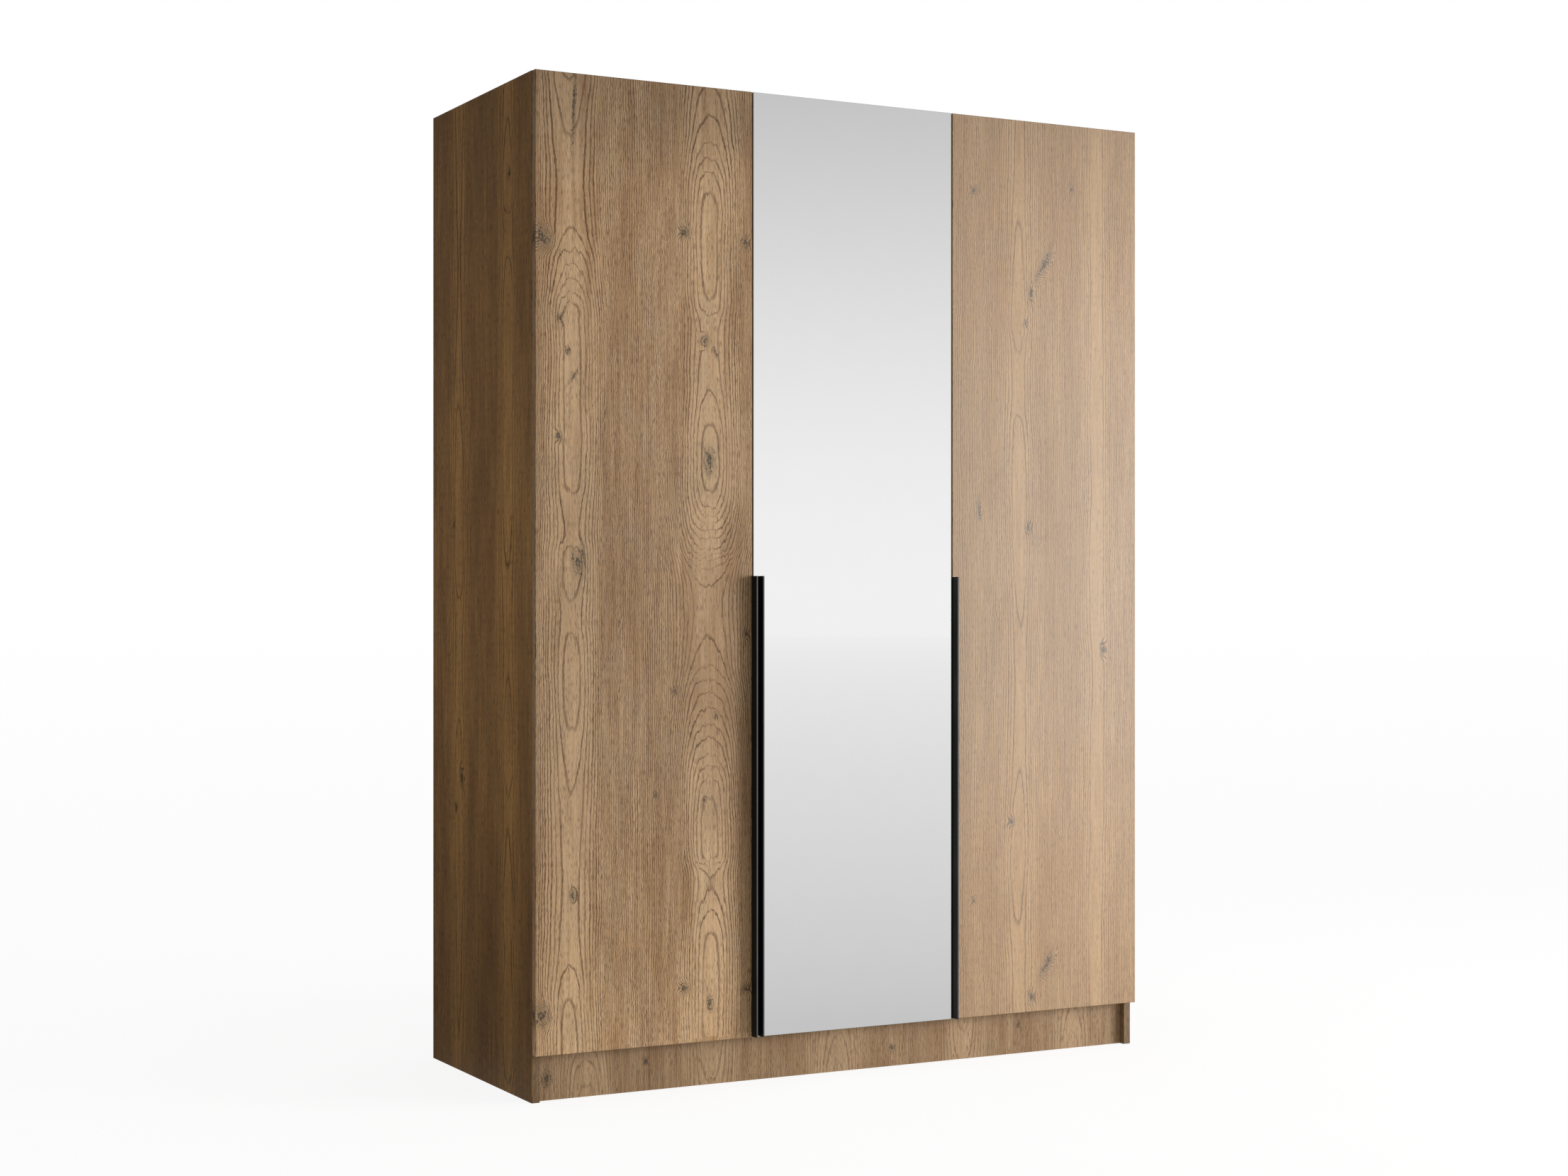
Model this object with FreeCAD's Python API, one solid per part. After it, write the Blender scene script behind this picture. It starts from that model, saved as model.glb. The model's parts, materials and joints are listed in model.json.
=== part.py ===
"""Three-door wardrobe: oak-decor carcass, two plain doors, a full-height mirror door and black blade pulls.

Millimetres. +X is to the right and -Y to the front of a person facing the doors, +Z is up.
The origin is on the floor, at the centre of the wardrobe's box (pulls included).
"""
import FreeCAD, Part
import os

V = FreeCAD.Vector
AXIS_X = V(1, 0, 0)
AXIS_Y = V(0, 1, 0)
AXIS_Z = V(0, 0, 1)

# ---------------------------------------------------------------- driving dimensions
WIDTH = 1350.0              # over the two side panels
HEIGHT = 1910.0             # floor to the top of the side panels
CARCASS_DEPTH = 527.0       # front edge to rear edge of the side panels
BOARD = 16.0                # thickness of carcass boards and plain doors
BACK_BOARD = 3.0            # hardboard back
BACK_REBATE = 3.5           # depth of the rebate that the back lies in
BACK_LAP = 8.0              # how far the back laps onto each carcass board
DOOR_GAP = 2.0              # closed door to the carcass front
DOOR_SEAM = 3.0             # between neighbouring doors
DOOR_BOTTOM = 89.0          # floor to the lower edge of the doors
DOOR_TOP_DROP = 1.0         # doors end this far below the top
DOOR_ROUND = 1.0            # rounding of the doors' front edges
BOARD_ROUND = 0.6           # rounding of the carcass boards' front edges
PLINTH_HEIGHT = 90.0
PLINTH_SETBACK = 14.0
REAR_PLINTH_INSET = 17.5    # rear plinth board to the back edge
MIRROR_GLASS = 3.0          # glass thickness, the rest of that door is board
MIRROR_CHAMFER = 0.5
PULL_PROJECTION = 22.0      # blade in front of the doors
PULL_THICKNESS = 2.6
PULL_LEG = 10.0             # leg let into the door's edge
PULL_LEG_THICKNESS = 1.3
PULL_BOTTOM = 91.0
PULL_LENGTH = 886.0
MIRROR_PULL_INSET = 12.5    # mirror door: its edge to the blade's far face
MIRROR_PULL_FLANGE = 1.5    # part of the mirror door's pull that lies on the glass

HAT_SHELF_Z = 1560.0
SHELF_Z = (446.0, 786.0, 1126.0, 1466.0)
FIXED_SHELF = 2             # index of the shelf that is held by cams
SHELF_SETBACK = 22.0
SHELF_SIDE_PLAY = 0.5
SHELF_REAR_PLAY = 2.0
RAIL_Z = 1500.0
RAIL_Y = 20.0
RAIL_HEIGHT = 30.0
RAIL_WIDTH = 15.0
RAIL_WALL = 1.2

OUTER_HINGES = 4            # hinges on each plain door
MIRROR_HINGES = 5
HINGE_END = 90.0            # first and last hinge to the door's ends
PIN_INSET = 6.0             # hinge pin to the door's hinge edge
PIN_FORWARD = 12.0          # hinge pin in front of the carcass front
PIN_R = 1.0
PIN_HALF = 7.5
EYE_R = 1.7
ARM_HALF = 4.5              # half the width of the arm's hook
ARM_LEAF = 2.4              # thickness of the arm's hook
ARM_REACH = 20.0            # hinge edge of the door to the middle of the arm's neck
CUP_R = 17.5
CUP_CENTRE = 20.5
CUP_DEPTH = 12.6
CUP_WALL = 0.8
CUP_FLOOR = 0.6
CUP_FLANGE = 1.2
FREE = 0.05                 # radial clearance round pins and screws
END_PLAY = 0.5              # bores are this much deeper than what sits in them

CARCASS_CAM_FRONT = 60.0    # cams of the top and bottom panels: to the front edge
CARCASS_CAM_REAR = 80.0     # and to the rear edge
CARCASS_DOWEL_FRONT = 25.0
PARTITION_CAM_FRONT = 90.0
PARTITION_CAM_REAR = 110.0
PLINTH_CAM_LEVEL = 0.6      # shares of the plinth's height
PLINTH_DOWEL_LEVEL = 0.25
PLINTH_DOWEL_SPREAD = 0.6   # share of the half width

# ---------------------------------------------------------------- derived places
Y_BACK = (CARCASS_DEPTH + DOOR_GAP + BOARD + PULL_PROJECTION) / 2
Y_CARCASS = Y_BACK - CARCASS_DEPTH
Y_DOOR_REAR = Y_CARCASS - DOOR_GAP
Y_DOOR_FRONT = Y_DOOR_REAR - BOARD
Y_PULL = Y_DOOR_FRONT - PULL_PROJECTION
Y_BOARD_BACK = Y_BACK - BACK_REBATE
X_OUTER = WIDTH / 2
X_INNER = X_OUTER - BOARD
X_SEAM = WIDTH / 6
X_PARTITION = (X_SEAM - BOARD / 2, X_SEAM + BOARD / 2)
Z_FLOOR_BOARD = (PLINTH_HEIGHT, PLINTH_HEIGHT + BOARD)
Z_TOP_BOARD = (HEIGHT - BOARD, HEIGHT)
DOOR_TOP = HEIGHT - DOOR_TOP_DROP
Z_BACK = (PLINTH_HEIGHT + BACK_LAP, HEIGHT - BACK_LAP)
Y_PLINTH = (Y_CARCASS + PLINTH_SETBACK, Y_CARCASS + PLINTH_SETBACK + BOARD)
Y_REAR_PLINTH = (Y_BACK - REAR_PLINTH_INSET - BOARD, Y_BACK - REAR_PLINTH_INSET)

pieces = {}                 # node name: the solids in that node
cutters = {}                # node name: everything bored or cut out of it


def add(node, *solids):
    """Put solids into a node."""
    pieces.setdefault(node, []).extend(solids)


def cut(node, *tools):
    """Note tools that will be cut out of a node."""
    cutters.setdefault(node, []).extend(tools)


def block(x, y, z):
    """Box between the two ends given for each axis, in any order."""
    low = V(min(x), min(y), min(z))
    high = V(max(x), max(y), max(z))
    size = high - low
    return Part.makeBox(size.x, size.y, size.z, low)


def rod(radius, start, direction, length):
    """Cylinder from start along a unit direction."""
    return Part.makeCylinder(radius, length, start, direction)


def rounded_front(board, y, radius):
    """Round the edges of a board's front face, the one at y."""
    edges = [e for e in board.Edges if all(abs(p.Y - y) < 0.01 for p in e.Vertexes)]
    return board.makeFillet(radius, edges)


def spread(first, last, count):
    """Evenly spaced places from first to last."""
    step = (last - first) / (count - 1)
    return [first + step * i for i in range(count)]


# ---------------------------------------------------------------- fasteners
DOWEL_R = 4.0
DOWEL_LENGTH = 30.0
DOWEL_DEEP = 20.0           # part of a dowel in the board whose end is joined
CAM_R = 7.5
CAM_DEPTH = 12.5
CAM_DISTANCE = 34.0         # cam centre to the joint
BOLT_R = 3.4
BOLT_THREAD_R = 2.5
BOLT_THREAD = 11.0
BOLT_LENGTH = 31.0
SLOT_LONG = 8.0
SLOT_WIDE = 1.6
SLOT_DEEP = 2.0
SCREW_R = 1.75              # chipboard screw: shank, head and length
SCREW_HEAD_R = 3.4
SCREW_LENGTH = 12.0
SCREW_SLOT_HALF = 0.6       # cross slot in a screw head, as shares of its radius
SCREW_SLOT_NARROW = 0.12
SCREW_SLOT_DEEP = 0.7       # share of the head's height


def cam_joint(board, partner, joint, into, face):
    """Cam lock in a board and its bolt in the partner.

    joint is where the bolt crosses the joint, into points into the board,
    and face points to the board face that the cam is let into.
    """
    channel = rod(BOLT_R + 4 * FREE, joint, into, BOLT_LENGTH + END_PLAY)
    mouth = joint + into * CAM_DISTANCE + face * (BOARD / 2)
    cam = rod(CAM_R - FREE, mouth, face * -1, CAM_DEPTH)
    across = into.cross(face)
    for long_way, short_way in ((into, across), (across, into)):
        corner = mouth - long_way * (SLOT_LONG / 2) - short_way * (SLOT_WIDE / 2) - face * SLOT_DEEP
        opposite = corner + long_way * SLOT_LONG + short_way * SLOT_WIDE + face * SLOT_DEEP
        slot = block((corner.x, opposite.x), (corner.y, opposite.y), (corner.z, opposite.z))
        cam = cam.cut(slot)
    add("cam_locks", cam.cut(channel))
    bolt = rod(BOLT_R, joint, into, BOLT_LENGTH)
    thread = rod(BOLT_THREAD_R, joint, into * -1, BOLT_THREAD)
    add("cam_bolts", bolt.fuse(thread))
    cut(board, rod(CAM_R, mouth, face * -1, CAM_DEPTH + 0.1), channel)
    cut(partner, rod(BOLT_THREAD_R + FREE, joint, into * -1, BOLT_THREAD + END_PLAY))


def dowel_joint(board, partner, joint, into):
    """Fluted dowel across a joint, longer in the board than in the partner."""
    start = joint - into * (DOWEL_LENGTH - DOWEL_DEEP)
    add("dowels", rod(DOWEL_R - FREE, start, into, DOWEL_LENGTH))
    cut(board, rod(DOWEL_R, joint, into, DOWEL_DEEP + END_PLAY))
    cut(partner, rod(DOWEL_R, joint, into * -1, DOWEL_LENGTH - DOWEL_DEEP + END_PLAY))


def screw(start, into, length, radius=SCREW_R, head_r=SCREW_HEAD_R, head=1.0):
    """Screw whose head stands on start and whose shank goes into the work."""
    shank = rod(radius, start, into, length)
    cap = rod(head_r, start, into * -1, head)
    edge = [e for e in cap.Edges if (e.CenterOfMass - start).dot(into) < -head * 0.9][:1]
    cap = cap.makeFillet(head * 0.45, edge)
    across = AXIS_Z if abs(into.z) < 0.5 else AXIS_X
    other = into.cross(across)
    top = start - into * head
    for a, b in ((across, other), (other, across)):
        half = a * (head_r * SCREW_SLOT_HALF) + b * (head_r * SCREW_SLOT_NARROW)
        corner = top - half
        opposite = top + half + into * (head * SCREW_SLOT_DEEP)
        cap = cap.cut(block((corner.x, opposite.x), (corner.y, opposite.y), (corner.z, opposite.z)))
    return shank.fuse(cap)


# ---------------------------------------------------------------- carcass
def side_panels():
    """Full-height sides with a rebate for the back along the inner rear edge."""
    for node, side in (("side_panel_left", -1), ("side_panel_right", 1)):
        board = block((side * X_INNER, side * X_OUTER), (Y_CARCASS, Y_BACK), (0, HEIGHT))
        add(node, rounded_front(board, Y_CARCASS, BOARD_ROUND))
        cut(node, block((side * X_INNER, side * (X_INNER + BACK_LAP)), (Y_BOARD_BACK, Y_BACK), (0, HEIGHT)))


def top_and_floor_boards():
    """Boards between the sides, held by cams and dowels at both ends."""
    for node, z, face in (("top_panel", Z_TOP_BOARD, AXIS_Z), ("bottom_panel", Z_FLOOR_BOARD, AXIS_Z * -1)):
        board = block((-X_INNER, X_INNER), (Y_CARCASS, Y_BOARD_BACK), z)
        add(node, rounded_front(board, Y_CARCASS, BOARD_ROUND))
        middle = (z[0] + z[1]) / 2
        for side, partner in ((-1, "side_panel_left"), (1, "side_panel_right")):
            for y in (Y_CARCASS + CARCASS_CAM_FRONT, Y_BACK - CARCASS_CAM_REAR):
                cam_joint(node, partner, V(side * X_INNER, y, middle), AXIS_X * -side, face)
            dowel_joint(node, partner, V(side * X_INNER, 0, middle), AXIS_X * -side)
            front = V(side * X_INNER, Y_CARCASS + CARCASS_DOWEL_FRONT, middle)
            dowel_joint(node, partner, front, AXIS_X * -side)


def partition():
    """Upright board behind the seam between the mirror door and the right door."""
    node = "partition_panel"
    board = block(X_PARTITION, (Y_CARCASS, Y_BOARD_BACK), (Z_FLOOR_BOARD[1], Z_TOP_BOARD[0]))
    add(node, rounded_front(board, Y_CARCASS, BOARD_ROUND))
    for z, partner, into in (
        (Z_FLOOR_BOARD[1], "bottom_panel", AXIS_Z),
        (Z_TOP_BOARD[0], "top_panel", AXIS_Z * -1),
    ):
        for y in (Y_CARCASS + PARTITION_CAM_FRONT, Y_BACK - PARTITION_CAM_REAR):
            cam_joint(node, partner, V(X_SEAM, y, z), into, AXIS_X)
        dowel_joint(node, partner, V(X_SEAM, 0, z), into)


def plinth():
    """Front and rear plinth boards under the bottom panel."""
    for node, y, face in (("plinth_front", Y_PLINTH, AXIS_Y), ("plinth_rear", Y_REAR_PLINTH, AXIS_Y * -1)):
        add(node, block((-X_INNER, X_INNER), y, (0, PLINTH_HEIGHT)))
        middle = (y[0] + y[1]) / 2
        for side, partner in ((-1, "side_panel_left"), (1, "side_panel_right")):
            cam = V(side * X_INNER, middle, PLINTH_HEIGHT * PLINTH_CAM_LEVEL)
            cam_joint(node, partner, cam, AXIS_X * -side, face)
            dowel = V(side * X_INNER, middle, PLINTH_HEIGHT * PLINTH_DOWEL_LEVEL)
            dowel_joint(node, partner, dowel, AXIS_X * -side)
        for x in (-X_INNER * PLINTH_DOWEL_SPREAD, X_INNER * PLINTH_DOWEL_SPREAD):
            dowel_joint(node, "bottom_panel", V(x, middle, PLINTH_HEIGHT), AXIS_Z * -1)


STRIP_HALF = 12.0
STRIP_WEB = 0.8
NAIL_R = 0.7
NAIL_HEAD_R = 1.9
NAIL_HEAD = 0.3
NAIL_LENGTH = 18.0
NAIL_PITCH = 150.0
NAIL_END = 40.0             # first and last nail of an upright row
NAIL_STAGGER = 20.0         # between two rows in the same board
NAIL_INSET = 4.0            # nail to the edge of the leaf
NAIL_SIDE = 45.0            # first and last nail of a level row
LEAF_PLAY = 0.5


def back():
    """Three hardboard leaves, a joint strip where no board backs the joint, and nails."""
    y = (Y_BOARD_BACK, Y_BOARD_BACK + BACK_BOARD)
    edge = X_INNER + BACK_LAP - LEAF_PLAY
    leaves = (
        ("back_panel_left", -edge, -X_SEAM - STRIP_WEB),
        ("back_panel_middle", -X_SEAM + STRIP_WEB, X_SEAM - LEAF_PLAY / 2),
        ("back_panel_right", X_SEAM + LEAF_PLAY / 2, edge),
    )
    for node, left, right in leaves:
        add(node, block((left, right), y, Z_BACK))
    strip_z = (Z_FLOOR_BOARD[1] + LEAF_PLAY, Z_TOP_BOARD[0] - LEAF_PLAY)
    web = block((-X_SEAM - STRIP_WEB, -X_SEAM + STRIP_WEB), (y[0] - 1, Y_BACK), strip_z)
    inner = block((-X_SEAM - STRIP_HALF, -X_SEAM + STRIP_HALF), (y[0] - 1, y[0]), strip_z)
    outer = block((-X_SEAM - STRIP_HALF, -X_SEAM + STRIP_HALF), (y[1], Y_BACK), strip_z)
    add("back_joint_strip", web.fuse([inner, outer]))

    def nail(leaf, board, x, z):
        shank = rod(NAIL_R, V(x, y[1], z), AXIS_Y * -1, NAIL_LENGTH)
        add("back_nails", shank.fuse(rod(NAIL_HEAD_R, V(x, y[1], z), AXIS_Y, NAIL_HEAD)))
        hole = rod(NAIL_R + FREE, V(x, y[1] + 0.1, z), AXIS_Y * -1, NAIL_LENGTH + END_PLAY)
        cut(leaf, hole)
        cut(board, hole)

    rows = int((Z_BACK[1] - Z_BACK[0]) / NAIL_PITCH)
    for z in spread(Z_BACK[0] + NAIL_END, Z_BACK[1] - NAIL_END, rows):
        nail("back_panel_left", "side_panel_left", -X_INNER - BACK_LAP / 2, z)
        nail("back_panel_right", "side_panel_right", X_INNER + BACK_LAP / 2, z)
        nail("back_panel_middle", "partition_panel", X_SEAM - NAIL_INSET, z)
        nail("back_panel_right", "partition_panel", X_SEAM + NAIL_INSET, z + NAIL_STAGGER)
    for node, left, right in leaves:
        for x in spread(left + NAIL_SIDE, right - NAIL_SIDE, 3):
            nail(node, "top_panel", x, Z_BACK[1] - BACK_LAP / 2)
            nail(node, "bottom_panel", x, Z_BACK[0] + BACK_LAP / 2)


# ---------------------------------------------------------------- interior
PIN_HOLE_R = 2.5
PIN_HOLE_DEPTH = 9.0
PIN_OUT = 8.0               # shelf pin in front of the board
PIN_COLLAR_R = 4.0
PIN_COLLAR = 1.0
SYSTEM_PITCH = 32.0
SHELF_Y = (Y_CARCASS + SHELF_SETBACK, Y_BOARD_BACK - SHELF_REAR_PLAY)
PIN_FRONT = 50.0            # shelf pins and shelf cams: to the shelf's front edge
PIN_REAR = 60.0
PIN_COLUMNS = (SHELF_Y[0] + PIN_FRONT, SHELF_Y[1] - PIN_REAR)


def hat_shelf():
    """Shelf above the hanging rail, held by cams to the left side and the partition."""
    node = "hat_shelf"
    left, right = -X_INNER, X_PARTITION[0]
    board = block((left, right), SHELF_Y, (HAT_SHELF_Z, HAT_SHELF_Z + BOARD))
    add(node, rounded_front(board, SHELF_Y[0], BOARD_ROUND))
    middle = HAT_SHELF_Z + BOARD / 2
    for y in PIN_COLUMNS:
        cam_joint(node, "side_panel_left", V(left, y, middle), AXIS_X, AXIS_Z)
        cam_joint(node, "partition_panel", V(right, y, middle), AXIS_X * -1, AXIS_Z)


def shelf_support(board, x, y, z, side):
    """Shelf pin under a shelf and the spare holes above and below it."""
    hole = V(x, y, z - PIN_HOLE_R)
    shank = rod(PIN_HOLE_R - FREE, hole, AXIS_X * side, PIN_HOLE_DEPTH - END_PLAY)
    peg = rod(PIN_HOLE_R, hole, AXIS_X * -side, PIN_OUT)
    collar = rod(PIN_COLLAR_R, hole, AXIS_X * -side, PIN_COLLAR)
    beyond = PIN_COLLAR_R + 1
    head = collar.cut(block((x - beyond, x + beyond), (y - beyond, y + beyond), (z, z + beyond)))
    add("shelf_pins", shank.fuse([peg, head]))
    for step in (-1, 0, 1):
        start = V(x, y, z - PIN_HOLE_R + step * SYSTEM_PITCH)
        cut(board, rod(PIN_HOLE_R, start, AXIS_X * side, PIN_HOLE_DEPTH))


def shelves():
    """Four shelves behind the right door: one held by cams, the others on pins."""
    left, right = X_PARTITION[1], X_INNER
    for number, z in enumerate(SHELF_Z):
        node = f"shelf_{number + 1}"
        fixed = number == FIXED_SHELF
        play = 0.0 if fixed else SHELF_SIDE_PLAY
        board = block((left + play, right - play), SHELF_Y, (z, z + BOARD))
        add(node, rounded_front(board, SHELF_Y[0], BOARD_ROUND))
        for y in PIN_COLUMNS:
            if fixed:
                cam_joint(node, "partition_panel", V(left, y, z + BOARD / 2), AXIS_X, AXIS_Z * -1)
                cam_joint(node, "side_panel_right", V(right, y, z + BOARD / 2), AXIS_X * -1, AXIS_Z * -1)
            else:
                shelf_support("partition_panel", left, y, z, -1)
                shelf_support("side_panel_right", right, y, z, 1)


def oval_prism(x0, x1, width, height):
    """Upright oval section (a slot shape) at the rail's place, run along X."""
    straight = height - width
    across = (RAIL_Y - width / 2, RAIL_Y + width / 2)
    core = block((x0, x1), across, (RAIL_Z - straight / 2, RAIL_Z + straight / 2))
    ends = [rod(width / 2, V(x0, RAIL_Y, RAIL_Z + s * straight / 2), AXIS_X, x1 - x0) for s in (-1, 1)]
    return core.fuse(ends).removeSplitter()


BRACKET_FLANGE = 2.0
BRACKET_LONG = 14.0
BRACKET_RIM = 2.5
BRACKET_HALF_WIDTH = 10.0
BRACKET_HALF_HEIGHT = 30.0
BRACKET_SCREW = 24.0        # rail's centre to a screw of its bracket


def hanging_rail():
    """Oval steel rail between two screwed cups."""
    left, right = -X_INNER, X_PARTITION[0]
    tube_ends = (left + BRACKET_FLANGE + END_PLAY, right - BRACKET_FLANGE - END_PLAY)
    bore = oval_prism(left, right, RAIL_WIDTH - 2 * RAIL_WALL, RAIL_HEIGHT - 2 * RAIL_WALL)
    add("hanging_rail", oval_prism(*tube_ends, RAIL_WIDTH, RAIL_HEIGHT).cut(bore))
    for x, board, side in ((left, "side_panel_left", 1), (right, "partition_panel", -1)):
        ends = sorted((x, x + side * BRACKET_LONG))
        cup = oval_prism(*ends, RAIL_WIDTH + 2 * BRACKET_RIM, RAIL_HEIGHT + 2 * BRACKET_RIM)
        flange = block(
            (x, x + side * BRACKET_FLANGE),
            (RAIL_Y - BRACKET_HALF_WIDTH, RAIL_Y + BRACKET_HALF_WIDTH),
            (RAIL_Z - BRACKET_HALF_HEIGHT, RAIL_Z + BRACKET_HALF_HEIGHT),
        )
        inside = sorted((x + side * BRACKET_FLANGE, x + side * (BRACKET_LONG + 1)))
        seat = oval_prism(*inside, RAIL_WIDTH + 2 * FREE, RAIL_HEIGHT + 2 * FREE)
        holder = cup.fuse(flange).cut(seat)
        for z in (RAIL_Z - BRACKET_SCREW, RAIL_Z + BRACKET_SCREW):
            start = V(x + side * BRACKET_FLANGE, RAIL_Y, z)
            add("rail_screws", screw(start, AXIS_X * -side, BRACKET_FLANGE + SCREW_LENGTH))
            depth = BRACKET_FLANGE + SCREW_LENGTH + END_PLAY
            hole = rod(SCREW_R + FREE, start, AXIS_X * -side, depth)
            holder = holder.cut(hole)
            cut(board, hole)
        add("rail_brackets", holder)


WALL_BRACKET_X = (-440.0, 440.0)
WALL_BRACKET_LEG = 32.0
WALL_BRACKET_HALF = 12.0
WALL_BRACKET_STEEL = 2.0
WALL_HOLE_R = 2.75
WALL_HOLE_DROP = 20.0       # top panel to the wall hole, and back to the bracket's own screw


def wall_brackets():
    """Steel angles under the top panel, each with a hole for a screw into the wall."""
    top = Z_TOP_BOARD[0]
    rear = Y_BOARD_BACK
    for x in WALL_BRACKET_X:
        width = (x - WALL_BRACKET_HALF, x + WALL_BRACKET_HALF)
        flat = block(width, (rear - WALL_BRACKET_LEG, rear), (top - WALL_BRACKET_STEEL, top))
        upright = block(width, (rear - WALL_BRACKET_STEEL, rear), (top - WALL_BRACKET_LEG, top))
        wall_hole = rod(WALL_HOLE_R, V(x, rear - 5, top - WALL_HOLE_DROP), AXIS_Y, BACK_BOARD + 10)
        start = V(x, rear - WALL_HOLE_DROP, top - WALL_BRACKET_STEEL)
        shank_hole = rod(SCREW_R + FREE, start, AXIS_Z, SCREW_LENGTH + END_PLAY)
        add("wall_brackets", flat.fuse(upright).removeSplitter().cut([wall_hole, shank_hole]))
        add("wall_bracket_screws", screw(start, AXIS_Z, SCREW_LENGTH))
        cut("top_panel", shank_hole)
        cut("back_panel_left" if x < 0 else "back_panel_right", wall_hole)


# ---------------------------------------------------------------- hinges
# A hinge is drawn for a door hung at its left: x runs inwards from the door's hinge edge,
# y runs back from the carcass front, z is 0 at the hinge's middle.
PLATE_Y = 38.0
PLATE_SCREW_Z = 16.0
PLATE_STEEL = 1.5
PLATE_WING_R = 6.0
PLATE_SCREW_R = 2.0
CUP_SCREW_X = 26.5
CUP_SCREW_Z = 24.0
CUP_SCREW_LENGTH = 10.0
CUP_RIM = 0.8               # rim beyond the cup's wall
EAR_R = 6.5
LUG_X = (3.0, 9.5)          # lugs that hold the pin, at the cup's outer side
LUG_HEIGHT = 5.5
LUG_HALF = 9.5
MOUTH_X = 3.5               # the cup's wall and rim are cut away up to here
MOUTH_HALF = 20.0
EYE_ROOM_X = 9.6            # room for the arm's eye between the lugs
SILL_X = 3.9                # low sill left in that room, in front of the eye
SILL = 2.5
ARM_BODY_Y = (5.0, 62.0)
ARM_BODY_HALF = 8.0
ARM_STEEL = 1.4
ARM_WEB = 6.0               # solid front end of the arm's channel
ARM_ROUND = 2.5
ARM_ABOVE_BOARD = 2.2       # the channel's edges clear the plate's base
ARM_HEIGHT = 12.0
ARM_SCREW_LENGTH = 8.0
ARM_SCREW_HEAD_R = 3.2
ARM_SCREW_HEAD = 0.9
PLATE_BASE_Y = (18.0, 58.0)
PLATE_BASE_HALF = 7.0
PLATE_BLOCK_Y = (22.0, 56.0)
PLATE_BLOCK_HALF = 5.5
PLATE_BLOCK_FLOOR = 2.5     # solid part under the arm screw's hole
PLATE_BLOCK_PLAY = 0.2      # block to the arm's channel
PLATE_SCREW_HEAD_R = 3.6


def hinge_cup():
    """Pressed cup with screw ears, let into the door's rear face."""
    floor = -DOOR_GAP - CUP_DEPTH
    centre = V(CUP_CENTRE, floor, 0)
    outside = rod(CUP_R, centre, AXIS_Y, CUP_DEPTH)
    inside = rod(CUP_R - CUP_WALL, centre + AXIS_Y * CUP_FLOOR, AXIS_Y, CUP_DEPTH + 5)
    face = V(CUP_CENTRE, -DOOR_GAP, 0)
    rim = rod(CUP_R + CUP_RIM, face, AXIS_Y, CUP_FLANGE)
    ear_places = [V(CUP_SCREW_X, -DOOR_GAP, s * CUP_SCREW_Z) for s in (-1, 1)]
    ears = [rod(EAR_R, place, AXIS_Y, CUP_FLANGE) for place in ear_places]
    web = block(
        (CUP_SCREW_X - EAR_R, CUP_SCREW_X + EAR_R),
        (-DOOR_GAP, -DOOR_GAP + CUP_FLANGE),
        (-CUP_SCREW_Z, CUP_SCREW_Z),
    )
    shell = outside.fuse([rim, web] + ears).cut(inside)
    lugs = block(LUG_X, (floor, floor + LUG_HEIGHT), (-LUG_HALF, LUG_HALF))
    shell = shell.fuse(lugs.common(outside))
    mouth = block((0.0, MOUTH_X), (-DOOR_GAP, 0), (-MOUTH_HALF, MOUTH_HALF))
    room_z = (-ARM_HALF - END_PLAY, ARM_HALF + END_PLAY)
    eye_room = block((0.0, EYE_ROOM_X), (floor + CUP_FLOOR, 0), room_z)
    sill = block((0.0, SILL_X), (floor, floor + SILL), room_z)
    eye_room = eye_room.cut(sill)
    pin_hole = rod(PIN_R, V(PIN_INSET, -PIN_FORWARD, -PIN_HALF), AXIS_Z, 2 * PIN_HALF)
    screw_holes = [rod(SCREW_R + FREE, place - AXIS_Y, AXIS_Y, 5) for place in ear_places]
    return shell.cut([mouth, eye_room, pin_hole] + screw_holes)


def hinge_pin():
    """Steel pin fixed in the cup's lugs, on which the arm's eye turns."""
    return rod(PIN_R, V(PIN_INSET, -PIN_FORWARD, -PIN_HALF), AXIS_Z, 2 * PIN_HALF)


def arm_top(board_face):
    """How far the arm's back stands from the door's hinge edge."""
    return max(board_face + ARM_HEIGHT, ARM_REACH + ARM_LEAF / 2 + 1.0)


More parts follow.
